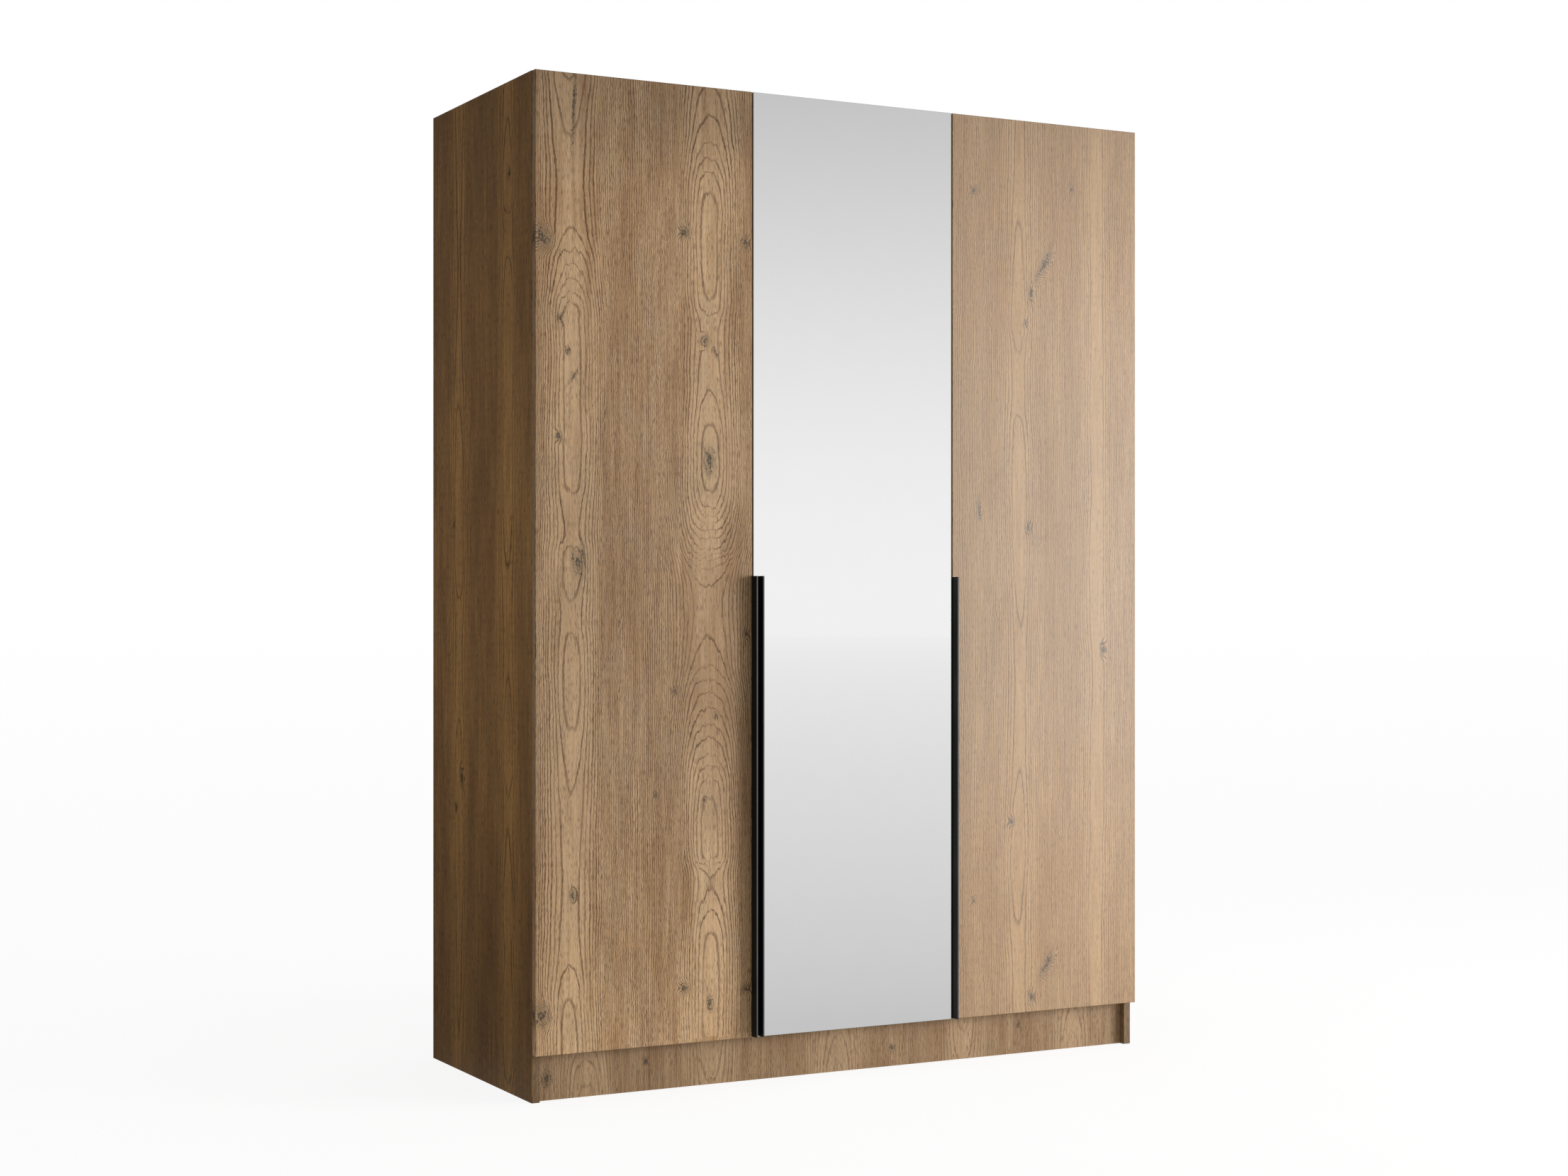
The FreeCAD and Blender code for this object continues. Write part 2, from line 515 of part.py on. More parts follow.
def hinge_arm(board_face):
    """Hooked arm: an eye on the pin, a neck out of the cup and a channel over the plate."""
    half_leaf = ARM_LEAF / 2
    hook_y = (-PIN_FORWARD - half_leaf, -PIN_FORWARD + half_leaf)
    neck_x = (ARM_REACH - half_leaf, ARM_REACH + half_leaf)
    width = (-ARM_HALF, ARM_HALF)
    hook = block((PIN_INSET, neck_x[1]), hook_y, width)
    neck = block(neck_x, (hook_y[0], ARM_BODY_Y[0] + ARM_WEB), width)
    eye = rod(EYE_R, V(PIN_INSET, -PIN_FORWARD, -ARM_HALF), AXIS_Z, 2 * ARM_HALF)
    top = arm_top(board_face)
    body = block((board_face + ARM_ABOVE_BOARD, top), ARM_BODY_Y, (-ARM_BODY_HALF, ARM_BODY_HALF))
    ridge = [e for e in body.Edges if all(abs(p.X - top) < 0.01 for p in e.Vertexes)]
    body = body.makeFillet(ARM_ROUND, ridge)
    hollow = block(
        (board_face, top - ARM_STEEL),
        (ARM_BODY_Y[0] + ARM_WEB, ARM_BODY_Y[1] + 1),
        (-ARM_BODY_HALF + ARM_STEEL, ARM_BODY_HALF - ARM_STEEL),
    )
    eye_hole = rod(PIN_R + FREE, V(PIN_INSET, -PIN_FORWARD, -ARM_HALF - 1), AXIS_Z, 2 * ARM_HALF + 2)
    screw_hole = rod(PLATE_SCREW_R + FREE, V(board_face, PLATE_Y, 0), AXIS_X, 40)
    return body.cut(hollow).fuse([hook, neck, eye]).cut([eye_hole, screw_hole])


def hinge_plate(board_face):
    """Winged plate screwed to the board, with a block that the arm sits over."""
    low = board_face
    base = block((low, low + PLATE_STEEL), PLATE_BASE_Y, (-PLATE_BASE_HALF, PLATE_BASE_HALF))
    wing_y = (PLATE_Y - PLATE_WING_R, PLATE_Y + PLATE_WING_R)
    wings = block((low, low + PLATE_STEEL), wing_y, (-PLATE_SCREW_Z, PLATE_SCREW_Z))
    screw_places = [V(low, PLATE_Y, s * PLATE_SCREW_Z) for s in (-1, 1)]
    ends = [rod(PLATE_WING_R, place, AXIS_X, PLATE_STEEL) for place in screw_places]
    top = arm_top(board_face) - ARM_STEEL - PLATE_BLOCK_PLAY
    riser = block((low, top), PLATE_BLOCK_Y, (-PLATE_BLOCK_HALF, PLATE_BLOCK_HALF))
    holes = [rod(PLATE_SCREW_R + FREE, place - AXIS_X, AXIS_X, 5) for place in screw_places]
    holes.append(rod(PLATE_SCREW_R + FREE, V(low + PLATE_BLOCK_FLOOR, PLATE_Y, 0), AXIS_X, 40))
    return base.fuse([wings, riser] + ends).cut(holes)


def hung(shape, edge_x, side, z):
    """Move a hinge piece to a door: side is 1 when the door extends to +X from its hinge edge."""
    shape = shape.copy()
    if side < 0:
        shape = shape.mirror(V(0, 0, 0), AXIS_X)
    shape.translate(V(edge_x, Y_CARCASS, z))
    return shape


def hinges(name, edge_x, side, face, count, board, door_board):
    """All the hinges of one door: face is the inner face of the carcass board, from the door's edge."""
    cup, pin, arm, plate = hinge_cup(), hinge_pin(), hinge_arm(face), hinge_plate(face)
    pot = rod(CUP_R + 0.1, V(CUP_CENTRE, -DOOR_GAP - CUP_DEPTH - 0.05, 0), AXIS_Y, CUP_DEPTH + 1)
    plate_top = V(face + PLATE_STEEL, PLATE_Y, 0)
    ear_top = V(CUP_SCREW_X, -DOOR_GAP + CUP_FLANGE, 0)
    for z in spread(DOOR_BOTTOM + HINGE_END, DOOR_TOP - HINGE_END, count):
        add(f"hinge_cups_{name}", hung(cup, edge_x, side, z))
        add(f"hinge_pins_{name}", hung(pin, edge_x, side, z))
        add(f"hinge_arms_{name}", hung(arm, edge_x, side, z))
        add(f"hinge_plates_{name}", hung(plate, edge_x, side, z))
        cut(door_board, hung(pot, edge_x, side, z))
        lock_seat = V(arm_top(face), PLATE_Y, 0)
        lock = screw(
            lock_seat, AXIS_X * -1, ARM_SCREW_LENGTH, PLATE_SCREW_R, ARM_SCREW_HEAD_R, ARM_SCREW_HEAD
        )
        add(f"arm_screws_{name}", hung(lock, edge_x, side, z))
        for s in (-1, 1):
            up = V(0, 0, s * PLATE_SCREW_Z)
            fixing = screw(
                plate_top + up, AXIS_X * -1, SCREW_LENGTH, PLATE_SCREW_R, PLATE_SCREW_HEAD_R
            )
            add(f"plate_screws_{name}", hung(fixing, edge_x, side, z))
            bore = rod(PLATE_SCREW_R + FREE, plate_top + up, AXIS_X * -1, SCREW_LENGTH + END_PLAY)
            cut(board, hung(bore, edge_x, side, z))
            up = V(0, 0, s * CUP_SCREW_Z)
            fixing = screw(ear_top + up, AXIS_Y * -1, CUP_SCREW_LENGTH)
            add(f"cup_screws_{name}", hung(fixing, edge_x, side, z))
            bore = rod(SCREW_R + FREE, ear_top + up, AXIS_Y * -1, CUP_SCREW_LENGTH + END_PLAY)
            cut(door_board, hung(bore, edge_x, side, z))


# ---------------------------------------------------------------- doors
BUMPER_R = 4.0
BUMPER_THICKNESS = 1.5
BUMPER_INSET = 15.0
BUMPER_ROUND = 0.7
PULL_SCREW_END = 60.0
PULL_SCREW_Z = (PULL_SCREW_END, PULL_LENGTH / 2, PULL_LENGTH - PULL_SCREW_END)
PULL_SCREW_R = 1.2
PULL_HEAD_R = 2.2
PULL_HEAD = 0.8
PULL_HEAD_SINK = 0.9        # the head's seat, below the leg's face
PULL_SCREW_LENGTH = 14.0
REBATE_PLAY = 0.1           # round a pull's leg in the door's edge


def bumpers(name, free_x, side):
    """Soft dots on the door's rear face at its free edge, meeting the top and floor boards."""
    for z in (sum(Z_FLOOR_BOARD) / 2, sum(Z_TOP_BOARD) / 2):
        dot = rod(BUMPER_R, V(free_x - side * BUMPER_INSET, Y_DOOR_REAR, z), AXIS_Y, BUMPER_THICKNESS)
        edge = [e for e in dot.Edges if abs(e.CenterOfMass.y - Y_DOOR_REAR - BUMPER_THICKNESS) < 0.01]
        add(f"bumpers_{name}", dot.makeFillet(BUMPER_ROUND, edge[:1]))


def pull_screws(name, free_x, side, boards):
    """Screws through the pull's leg into the door's edge."""
    y = Y_DOOR_FRONT + PULL_LEG / 2 + 1
    for offset in PULL_SCREW_Z:
        seat = V(free_x - side * PULL_HEAD_SINK, y, PULL_BOTTOM + offset)
        fixing = screw(seat, AXIS_X * -side, PULL_SCREW_LENGTH, PULL_SCREW_R, PULL_HEAD_R, PULL_HEAD)
        add(f"pull_screws_{name}", fixing)
        pocket = rod(PULL_HEAD_R + FREE, seat, AXIS_X * side, 2)
        depth = PULL_SCREW_LENGTH + END_PLAY + 1
        shank = rod(PULL_SCREW_R + FREE, seat + AXIS_X * side, AXIS_X * -side, depth)
        cut(f"pull_{name}", pocket, shank)
        for board in boards:
            cut(board, shank)


def pull_rebate(x):
    """Room in a door's edge for the leg of its pull."""
    y = (Y_DOOR_FRONT - 1, Y_DOOR_FRONT + PULL_LEG + REBATE_PLAY)
    return block(x, y, (PULL_BOTTOM - REBATE_PLAY, PULL_BOTTOM + PULL_LENGTH + REBATE_PLAY))


def edge_pull(name, free_x, side, board):
    """Flat blade along the door's free edge: its leg is let in flush, its blade overhangs the seam."""
    z = (PULL_BOTTOM, PULL_BOTTOM + PULL_LENGTH)
    root = free_x - side * PULL_LEG_THICKNESS
    blade = block((root, root + side * PULL_THICKNESS), (Y_PULL, Y_DOOR_FRONT), z)
    leg = block((root, free_x), (Y_DOOR_FRONT, Y_DOOR_FRONT + PULL_LEG), z)
    add(f"pull_{name}", blade.fuse(leg).removeSplitter())
    cut(board, pull_rebate((root, free_x + side)))
    pull_screws(name, free_x, side, [board])


def plain_door(name, left, right, free_side, hinge_board):
    """Oak-decor door with its pull, bumpers and hinges."""
    node = f"{name}_panel"
    board = block((left, right), (Y_DOOR_FRONT, Y_DOOR_REAR), (DOOR_BOTTOM, DOOR_TOP))
    add(node, rounded_front(board, Y_DOOR_FRONT, DOOR_ROUND))
    free_x, edge_x = (right, left) if free_side > 0 else (left, right)
    edge_pull(name, free_x, free_side, node)
    bumpers(name, free_x, free_side)
    hinges(name, edge_x, free_side, BOARD, OUTER_HINGES, hinge_board, node)


def mirror_door(left, right):
    """Board with a full-size frameless mirror on its front, hung on the partition."""
    name = "mirror_door"
    y_glass = Y_DOOR_FRONT + MIRROR_GLASS
    add("mirror_door_board", block((left, right), (y_glass, Y_DOOR_REAR), (DOOR_BOTTOM, DOOR_TOP)))
    glass = block((left, right), (Y_DOOR_FRONT, y_glass), (DOOR_BOTTOM, DOOR_TOP))
    edges = [e for e in glass.Edges if all(abs(p.Y - Y_DOOR_FRONT) < 0.01 for p in e.Vertexes)]
    add("mirror_glass", glass.makeChamfer(MIRROR_CHAMFER, edges))
    z = (PULL_BOTTOM, PULL_BOTTOM + PULL_LENGTH)
    y_flange = Y_DOOR_FRONT - MIRROR_PULL_FLANGE
    leg = block((left, left + PULL_LEG_THICKNESS), (y_flange, Y_DOOR_FRONT + PULL_LEG), z)
    flange = block((left, left + MIRROR_PULL_INSET), (y_flange, Y_DOOR_FRONT), z)
    blade_x = (left + MIRROR_PULL_INSET - PULL_THICKNESS, left + MIRROR_PULL_INSET)
    blade = block(blade_x, (Y_PULL, Y_DOOR_FRONT), z)
    add("pull_mirror_door", leg.fuse([flange, blade]).removeSplitter())
    rebate = pull_rebate((left - 1, left + PULL_LEG_THICKNESS))
    cut("mirror_door_board", rebate)
    cut("mirror_glass", rebate)
    pull_screws(name, left, -1, ["mirror_door_board"])
    bumpers(name, left, -1)
    face = right - X_PARTITION[0]
    hinges(name, right, -1, face, MIRROR_HINGES, "partition_panel", "mirror_door_board")


def write_all():
    """Cut the bores and write one STEP file for each node."""
    os.makedirs("parts", exist_ok=True)
    for node, solids in pieces.items():
        tools = cutters.get(node, [])
        if tools:
            solids = [solid.cut(tools) for solid in solids]
        shape = solids[0] if len(solids) == 1 else Part.makeCompound(solids)
        whole = shape.isValid() and all(len(s.Solids) == 1 for s in solids)
        print(node, len(solids), "ok" if whole else "CHECK", round(shape.Volume))
        shape.exportStep(f"parts/{node}.step")


side_panels()
top_and_floor_boards()
partition()
plinth()
back()
hat_shelf()
shelves()
hanging_rail()
wall_brackets()
half_seam = DOOR_SEAM / 2
plain_door("left_door", -X_OUTER, -X_SEAM - half_seam, 1, "side_panel_left")
mirror_door(-X_SEAM + half_seam, X_SEAM - half_seam)
plain_door("right_door", X_SEAM + half_seam, X_OUTER, -1, "side_panel_right")
write_all()
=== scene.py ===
import json
import math

import bpy
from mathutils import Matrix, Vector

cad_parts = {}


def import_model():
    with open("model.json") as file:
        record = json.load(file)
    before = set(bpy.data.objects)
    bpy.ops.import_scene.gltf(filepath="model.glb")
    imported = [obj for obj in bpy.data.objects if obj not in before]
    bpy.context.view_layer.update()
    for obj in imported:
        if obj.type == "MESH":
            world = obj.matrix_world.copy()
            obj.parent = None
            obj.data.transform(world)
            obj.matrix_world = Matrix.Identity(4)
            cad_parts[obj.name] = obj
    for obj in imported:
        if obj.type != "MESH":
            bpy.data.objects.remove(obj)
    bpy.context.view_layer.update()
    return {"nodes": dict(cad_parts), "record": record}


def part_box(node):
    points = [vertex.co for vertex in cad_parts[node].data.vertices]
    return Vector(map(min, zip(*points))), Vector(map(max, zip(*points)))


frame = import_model()

# ---------------------------------------------------------------- sizes in metres, angles in degrees

DOOR_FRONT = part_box("left_door_panel")[0].y
SIDE_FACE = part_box("side_panel_left")[0].x
PLINTH_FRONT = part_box("plinth_front")[0].y
PULL_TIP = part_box("pull_left_door")[0].y

CAMERA_PLACE = (-2.4426, -4.5698, 0.9303)
CAMERA_YAW = 27.947
CAMERA_LENS = 57.77
CAMERA_SENSOR = 36.0
CAMERA_SHIFT_Y = 0.0078

KEY_PLACE = (4.05, -3.05, 1.10)
KEY_TARGET = (0.0, DOOR_FRONT, 0.72)
KEY_SIZE = (2.3, 2.2)
KEY_POWER = 84.0
KEY_SPREAD = 120.0

FLOOR_RADIUS = 60.0
FLOOR_CORNERS = 64
FLOOR_DROP = 0.0005
FLOOR_NEAR = 0.8
FLOOR_FAR = 60.0
FLOOR_DARK = (0.20, 0.20, 0.20)
FLOOR_PALE = (0.21, 0.21, 0.21)

# how brightly the floor shines near the object, and how much more far away
SEEN_NEAR = 0.86
SEEN_RISE = 0.14
MIRRORED_NEAR = 0.625
MIRRORED_RISE = 0.355
FLOOR_BOUNCE = 0.20  # how brightly it lights the object from below

WHITE = (1.0, 1.0, 1.0)
WORLD_DIM = (0.02, 0.02, 0.02)

# ---------------------------------------------------------------- nodes


class Number:
    """A number socket of a node tree, which takes part in plain arithmetic."""

    def __init__(self, graph, socket):
        self.graph = graph
        self.socket = socket

    def __add__(self, other):
        return self.graph.math("ADD", self, other)

    def __radd__(self, other):
        return self.graph.math("ADD", other, self)

    def __sub__(self, other):
        return self.graph.math("SUBTRACT", self, other)

    def __rsub__(self, other):
        return self.graph.math("SUBTRACT", other, self)

    def __mul__(self, other):
        return self.graph.math("MULTIPLY", self, other)

    def __truediv__(self, other):
        return self.graph.math("DIVIDE", self, other)

    def __abs__(self):
        return self.graph.math("ABSOLUTE", self)


class Graph:
    """The node tree of one material or world, with short calls for the nodes in use."""

    def __init__(self, tree):
        self.tree = tree

    def put(self, socket, value):
        if isinstance(value, Number):
            value = value.socket
        if isinstance(value, bpy.types.NodeSocket):
            self.tree.links.new(value, socket)
        else:
            socket.default_value = value

    def node(self, kind, inputs, **settings):
        made = self.tree.nodes.new("ShaderNode" + kind)
        for name, value in settings.items():
            setattr(made, name, value)
        for name, value in inputs.items():
            self.put(made.inputs[name], value)
        return made

    def math(self, operation, *values):
        made = self.node("Math", dict(enumerate(values)), operation=operation)
        return Number(self, made.outputs[0])

    def vector(self, x, y, z):
        return self.node("CombineXYZ", {"X": x, "Y": y, "Z": z}).outputs[0]

    def axes(self, output="Object"):
        """The x, y and z of a point in the row frame, or of the normal there."""
        source = self.node("TexCoord", {}).outputs[output]
        split = self.node("SeparateXYZ", {0: source})
        return [Number(self, socket) for socket in split.outputs]

    def noise(self, u, w, across, along, seed, detail=2.0):
        """Noise from 0 to 1 whose blobs are about across by along metres."""
        place = self.vector(u / across, w / along, seed)
        made = self.node("TexNoise", {"Vector": place, "Scale": 1.0, "Detail": detail})
        return Number(self, made.outputs[0])

    def fade(self, value, start, end, low=0.0, high=1.0):
        """Goes smoothly from low to high while value goes from start to end."""
        inputs = {"Value": value, 1: start, 2: end, 3: low, 4: high}
        made = self.node("MapRange", inputs, interpolation_type="SMOOTHSTEP")
        return Number(self, made.outputs[0])

    def mix(self, share, first, second):
        """A colour between two colours."""
        made = self.node("Mix", {0: share, 6: colour(first), 7: colour(second)}, data_type="RGBA")
        return made.outputs[2]

    def curve(self, value, low, high, points, top):
        """A smooth curve through points (value, height): values from low to high, heights up to top."""
        made = self.node("FloatCurve", {"Value": (value - low) / (high - low)})
        line = made.mapping.curves[0]
        while len(line.points) < len(points):
            line.points.new(0.5, 0.5)
        placed = sorted(((at - low) / (high - low), height / top) for at, height in points)
        for point, place in zip(line.points, placed):
            point.location = place
        made.mapping.update()
        return Number(self, made.outputs[0]) * top

    def scale(self, value, factor):
        """A colour made darker or lighter by a factor."""
        made = self.node("VectorMath", {0: value, "Scale": factor}, operation="SCALE")
        return made.outputs[0]

    def tint(self, value, factors):
        """A colour with its red, green and blue each scaled by a factor."""
        made = self.node("VectorMath", {0: value, 1: factors}, operation="MULTIPLY")
        return made.outputs[0]

    def bump(self, height, depth, strength=1.0):
        made = self.node("Bump", {"Height": height, "Distance": depth, "Strength": strength})
        return made.outputs[0]


def colour(value):
    """An RGBA colour from an RGB one; a socket stays as it is."""
    if isinstance(value, tuple):
        return (*value, 1.0)
    return value


def material(name, **values):
    """A new material and its graph. The values are the same all over the surface."""
    made = bpy.data.materials.new(name)
    made.use_nodes = True
    graph = Graph(made.node_tree)
    graph.shader = made.node_tree.nodes["Principled BSDF"]
    graph.material = made
    for key, value in values.items():
        graph.shader.inputs[key.replace("_", " ")].default_value = value
    return graph


# ---------------------------------------------------------------- oak decor

FIGURE_DEPTH = 0.75  # less gives fewer arches
FIGURE_MIDDLE = 0.12  # a figure is stretched sideways as far as this from its middle line
FIGURE_REACH = (0.05, 0.17)  # between these distances from the middle line, arches turn into straight grain
FIGURE_SEAM = 0.006  # width over which the rings of two figures run into each other
DEEPEST_PITH = 0.1
WIDE_RINGS = 0.018  # rings nearer to the pith than this show as wide bands
LINE_START = 0.04  # a ring's line rises over this share of the ring
LINE_END = (0.02, 0.13)  # and falls between these shares
LINE_WIDENING = 0.34  # the line's share grows by this where the rings lie close together
KNOT_REACH = 4.0  # rings swirl as far as this round a knot, in knot radii
NO_KNOT = 9.0  # a distance at which no knot shows, in knot radii
BRIGHTEST_TONE_AND_LIGHT = 1.5
EDGE_SHIFT = 1.3  # how far the grain moves on per metre of board thickness, so that edges aren't smeared
SHELF_PITCH = 0.34


def rings(g, u, w, look):
    """Distance from the pith, whose level lines are the rings that show, and how steeply it grows."""
    nearest = None
    beside = None
    for centre, depths in look["columns"]:
        offset = abs(u - centre)
        offset = offset * g.fade(offset, 0.0, FIGURE_MIDDLE, look["narrow"], 1.0)
        depth = g.curve(w, look["low"], look["high"], depths, DEEPEST_PITH) * FIGURE_DEPTH
        slant = g.math("SQRT", offset * offset + depth * depth)
        reach = g.fade(offset, *FIGURE_REACH, 1.0, 0.0)
        ring = offset + (slant - offset) * reach
        nearest = ring if nearest is None else g.math("SMOOTH_MIN", nearest, ring, FIGURE_SEAM)
        beside = offset if beside is None else g.math("MINIMUM", beside, offset)
    return nearest, g.fade(beside / (nearest + 0.001), 0.0, 0.8)


def knot_marks(g, place, knots):
    """Swirl that the knots add to the rings, and the distance from the nearest knot in knot radii."""
    swirl = 0.0
    nearest = NO_KNOT
    for x, z, radius, stretch, tilt, push in knots:
        spot = g.node(
            "Mapping",
            {"Vector": place, "Location": (x, z, 0.0), "Rotation": (0.0, 0.0, math.radians(tilt)),
             "Scale": (radius, radius * stretch, 1.0)},
            vector_type="TEXTURE",
        )
        away = Number(g, g.node("VectorMath", {0: spot.outputs[0]}, operation="LENGTH").outputs["Value"])
        if push:
            swirl = swirl + g.fade(away, 0.0, KNOT_REACH, push, 0.0)
        nearest = g.math("MINIMUM", nearest, away)
    return swirl, nearest


def bent_grain(g, u, w, look):
    """The place u, w bent a little, so that no ring is a smooth curve, and the finest of the bends."""
    seed = look["seed"]
    slow = g.noise(u, w, 0.16, 0.55, seed) - 0.5
    middle = g.noise(u, w, 0.030, 0.075, seed + 1.0) - 0.5
    fine = g.noise(u, w, 0.0032, 0.0090, seed + 2.0) - 0.5
    lift = g.noise(u, w, 0.009, 0.060, seed + 3.0) - 0.5
    bent_u = u + slow * 0.026 + middle * 0.007 + fine * 0.0030
    bent_w = w + lift * look["ragged"]
    return bent_u, bent_w, fine


def ring_lines(g, u, w, ring, steep, knot, look):
    """One dark line per ring, sharp towards the pith and soft away from it, in dashes like pores."""
    seed = look["seed"]
    slack = g.noise(ring, 0.0, 0.030, 1.0, seed + 4.0)
    widened = g.math("SQRT", ring * ring + WIDE_RINGS * WIDE_RINGS)
    growth = widened / look["spacing"] + slack * 3.0
    index = g.math("FLOOR", growth)
    share = g.math("FRACT", growth)
    chance = Number(g, g.node("TexWhiteNoise", {"W": index + seed}, noise_dimensions="1D").outputs["Value"])
    crowded = steep * (ring / widened)
    line = g.fade(share, 0.0, LINE_START) * g.fade(share - crowded * LINE_WIDENING, *LINE_END, 1.0, 0.0)
    strength = g.math("MINIMUM", chance * 0.35 + 0.65 + g.fade(knot, 4.5, 1.5) * 0.5, 1.0)
    patches = g.fade(g.noise(u, w, 0.045, 0.22, seed + 5.0), 0.32, 0.60, 0.68, 1.0)
    dashes = g.fade(g.noise(u, w, 0.0009, 0.016, seed + 6.0, 1.0), 0.36, 0.58)
    near_pith = g.fade(ring, 0.003, 0.011, 0.12, 1.0)
    return line * strength * patches * (dashes * 0.45 + 0.55) * near_pith


def pore_specks(g, u, w, look):
    """Fine upright pores all over, which crowd together in streaks."""
    seed = look["seed"]
    streak = g.noise(u, w, 0.006, 0.12, seed + 7.0)
    pores = g.noise(u, w, 0.0010, 0.014, seed + 8.0, 1.0)
    return g.fade(pores, 0.46, 0.68) * g.fade(streak, 0.28, 0.60)


def bare_wood(g, u, w, ring, look):
    """The colour between the lines. The flat-sawn figure is paler than the straight grain beside it."""
    seed = look["seed"]
    tone = g.noise(u, w, 0.050, 0.45, seed + 9.0) * 0.55 + g.noise(u, w, 0.009, 0.16, seed + 10.0) * 0.45
    tone = tone + g.fade(ring, 0.010, 0.060, look["pale"], -0.03)
    body = g.mix(g.fade(tone, 0.32, 0.68), look["dark"], look["light"])
    fibre = g.noise(u, w, 0.0018, 0.070, seed + 13.0, 3.0)
    body = g.scale(body, g.fade(fibre, 0.30, 0.70, 0.88, 1.12))
    for start, end, depth in look["bands"]:
        band = g.fade(u, start - 0.001, start + 0.001) * g.fade(u, end - 0.001, end + 0.001, 1.0, 0.0)
        body = g.mix(band * depth, body, look["dark"])
    blotch = g.fade(g.noise(u, w, 0.06, 0.10, seed + 11.0), 0.48, 0.72)
    return g.mix(blotch * 0.45, body, look["grey"])


def with_knots(g, u, w, knot, body, look):
    """The wood's colour with a stained halo, a dark core and cracks at each knot."""
    seed = look["seed"]
    ragged = knot + (g.noise(u, w, 0.003, 0.005, seed + 12.0) - 0.5) * 2.2
    body = g.mix(g.fade(ragged, 3.4, 1.0) * look["halo"], body, look["stain"])
    core = g.fade(ragged, 0.95, 0.55) * g.fade(knot, 0.15, 0.50, 0.45, 1.0)
    ridge = abs(g.noise(u, w, 0.008, 0.014, seed + 14.0, 1.0) - 0.5)
    cracks = g.fade(ridge, 0.030, 0.008) * g.fade(knot, 2.8, 1.6)
    return g.mix(g.math("MAXIMUM", core, cracks) * 0.86, body, look["knot"])


def oak(name, place, look):
    """Oak decor: growth rings cut into arches and straight lines, broken up by pores, with knots."""
    g = material(name, Roughness=0.48, IOR=look["ior"])
    x, y, z = g.axes()
    u, w = place(x, y, z)
    bent_u, bent_w, fine = bent_grain(g, u, w, look)
    plane = g.vector(u + fine * 0.003, w + fine * 0.003, 0.0)
    swirl, knot = knot_marks(g, plane, look["knots"])
    ring, steep = rings(g, bent_u, bent_w, look)
    ring = ring + swirl
    line = ring_lines(g, u, w, ring, steep, knot, look)
    specks = pore_specks(g, u, w, look)
    body = bare_wood(g, u, w, ring, look)
    body = g.mix(specks * look["speck"], body, look["line"])
    body = g.mix(line * look["contrast"], body, look["line"])
    body = with_knots(g, u, w, knot, body, look)
    # the tone by height: partly the decor's own, partly painted light and shade
    body = g.scale(body, g.curve(w, look["low"], look["high"], look["tone_and_painted_light"], BRIGHTEST_TONE_AND_LIGHT))
    # painted shade: the left side's outer face gets a redder, darker tint
    if "painted_shade_tint" in look:
        painted_shade_mask = g.fade(x, SIDE_FACE + 0.003, SIDE_FACE + 0.001)
        body = g.tint(body, g.mix(painted_shade_mask, WHITE, look["painted_shade_tint"]))
    g.put(g.shader.inputs["Base Color"], body)
    g.put(g.shader.inputs["Normal"], g.bump(line + specks * 0.6, -0.00012, 0.6))
    return g.material


WOOD = {
    "ior": 1.40,
    "spacing": 0.0041,
    "ragged": 0.026,
    "narrow": 0.50,  # less gives figures with a wider middle
    "pale": 0.10,
    "low": 0.0,
    "high": 2.0,
    "dark": (0.415, 0.238, 0.108),
    "light": (0.640, 0.422, 0.232),
    "grey": (0.505, 0.348, 0.196),
    "line": (0.095, 0.034, 0.004),
    "stain": (0.200, 0.140, 0.078),
    "knot": (0.040, 0.026, 0.015),
    "contrast": 1.0,
    "speck": 0.60,
    "halo": 0.45,
    "bands": [],
    # height, how light it is there: partly the decor's own tone, partly painted light and shade
    "tone_and_painted_light": [(0.0, 1.0), (2.0, 1.0)],
}

